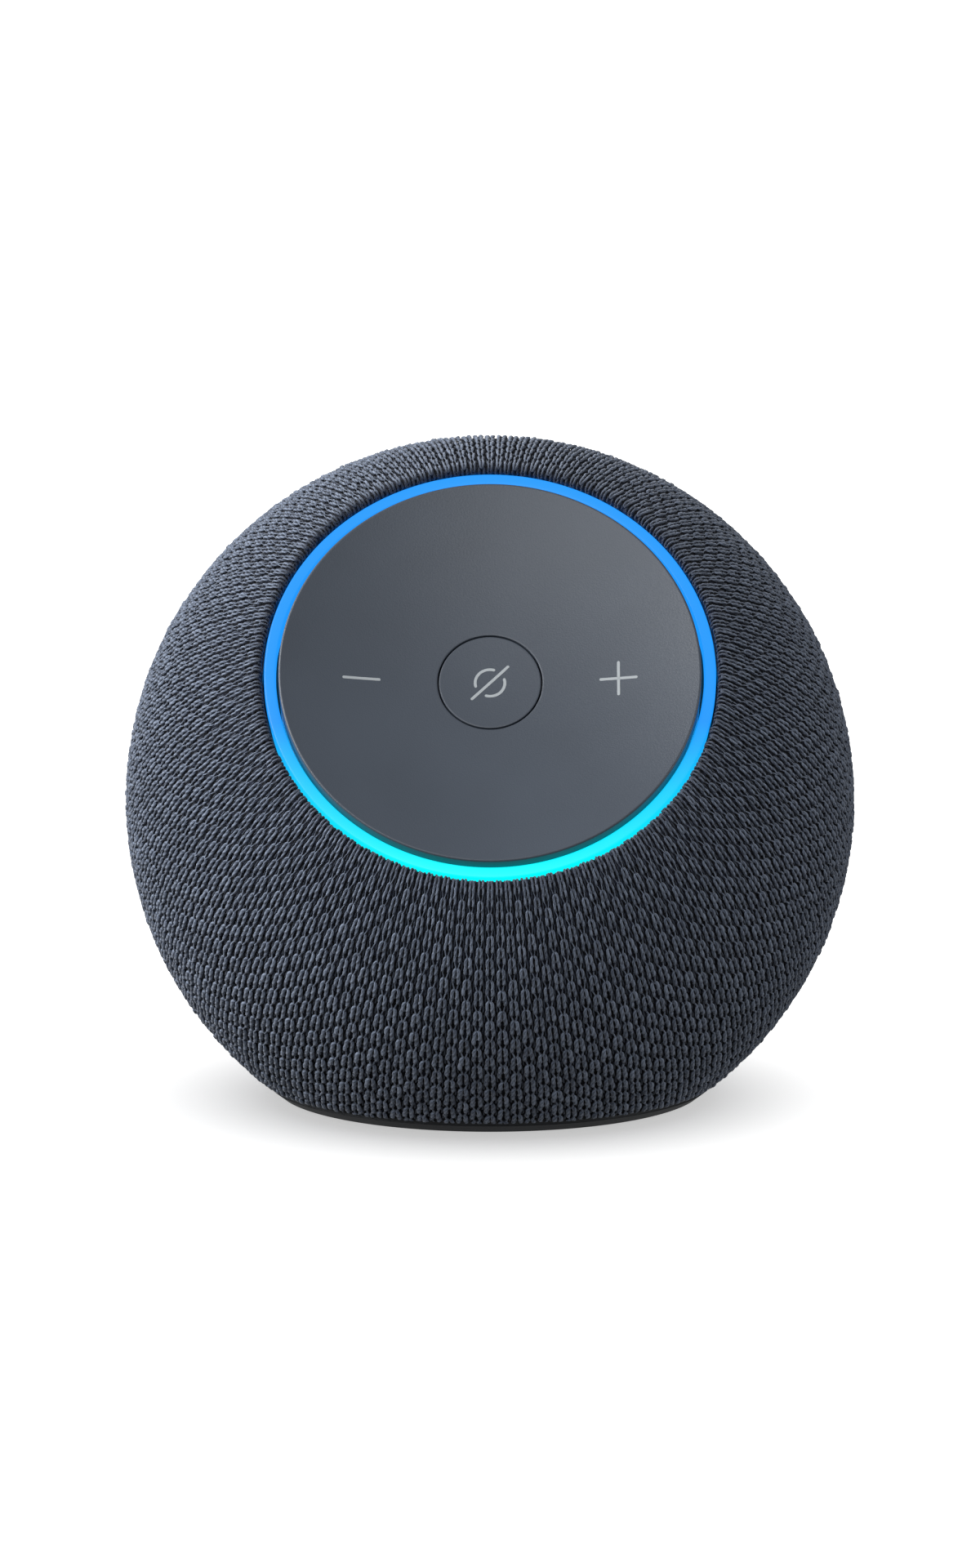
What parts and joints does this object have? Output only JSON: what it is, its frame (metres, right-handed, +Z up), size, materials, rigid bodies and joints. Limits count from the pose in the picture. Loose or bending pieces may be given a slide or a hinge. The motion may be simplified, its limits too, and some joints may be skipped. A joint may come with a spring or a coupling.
{
  "type": "smart home hub",
  "caption": "Fabric-covered ball hub on a flat base, with a tilted dished control face, a glowing ring around it, a woofer, a tweeter and a rear power inlet.",
  "frame": {"origin": "on the floor, under the middle of the base", "axes": "+Z up; the control face looks towards -Y and up; +X is the viewer's right"},
  "size_m": [0.1086, 0.1086, 0.0991],
  "materials": {
    "fabric": "matte knitted polyester",
    "shell": "matte moulded",
    "rim": "fine matte",
    "plate": "fine matte grain",
    "diffuser": "translucent, lit blue to cyan",
    "white": "matte",
    "rubber": "matte",
    "board": "solder mask",
    "part": "moulded",
    "paper": "pressed pulp",
    "steel": "zinc plated",
    "aluminium": "formed sheet",
    "ferrite": "sintered",
    "copper": "copper"
  },
  "bodies": {
    "housing": {"fabric_cover": "fabric", "upper_shell": "shell", "lower_shell": "shell", "sound_deflector": "shell", "woofer_baffle": "shell", "base_plate": "rim", "port_bezel": "rim", "light_ring": "diffuser", "light_baffle": "white", "ribbon_cable": "white", "rubber_foot": "rubber", "woofer_gasket": "rubber", "woofer_surround": "rubber", "button_membrane": "rubber", "front_board": "board", "led_board": "board", "main_board": "board", "tweeter_frame": "part", "face_chassis": "part", "board_connector": "part", "dc_jack": "part", "woofer_spider": "paper", "tweeter_dome": "paper", "woofer_basket": "steel", "woofer_top_plate": "steel", "woofer_yoke": "steel", "rocker_pin_upper": "steel", "rocker_pin_lower": "steel", "shield_can": "steel", "switch_minus": "steel", "switch_mute": "steel", "switch_plus": "steel", "microphone_left": "steel", "microphone_right": "steel", "base_screw_1": "steel", "base_screw_2": "steel", "base_screw_3": "steel", "baffle_screw_1": "steel", "baffle_screw_2": "steel", "baffle_screw_3": "steel", "baffle_screw_4": "steel", "woofer_screw_1": "steel", "woofer_screw_2": "steel", "woofer_screw_3": "steel", "woofer_screw_4": "steel", "face_screw_1": "steel", "face_screw_2": "steel", "face_screw_3": "steel", "face_screw_4": "steel", "tweeter_screw_1": "steel", "tweeter_screw_2": "steel", "heat_sink": "aluminium", "woofer_magnet": "ferrite", "tweeter_magnet": "ferrite", "antenna": "copper"},
    "volume_plate": {"face_plate": "plate"},
    "mute_cap": {"mute_button": "plate"},
    "woofer_diaphragm": {"woofer_cone": "paper", "woofer_dust_cap": "paper", "woofer_voice_coil": "copper"}
  },
  "joints": [
    {"name": "volume_rocker", "type": "hinge", "parent": "housing", "child": "volume_plate", "pos_m": [0, -0.03028, 0.06645], "axis": [0, 0.5807, 0.8141], "range_deg": [-1.2, 1.2], "stiffness_Nm_per_rad": 2},
    {"name": "mute_press", "type": "slide", "parent": "volume_plate", "child": "mute_cap", "axis": [0, 0.8141, -0.5807], "range_m": [0, 0.0006], "stiffness_N_per_m": 900, "springref_m": -0.0002},
    {"name": "woofer_travel", "type": "slide", "parent": "housing", "child": "woofer_diaphragm", "axis": [0, 0, -1], "range_m": [-0.002, 0.002], "stiffness_N_per_m": 1500, "deforming": ["woofer_surround", "woofer_spider"]}
  ]
}
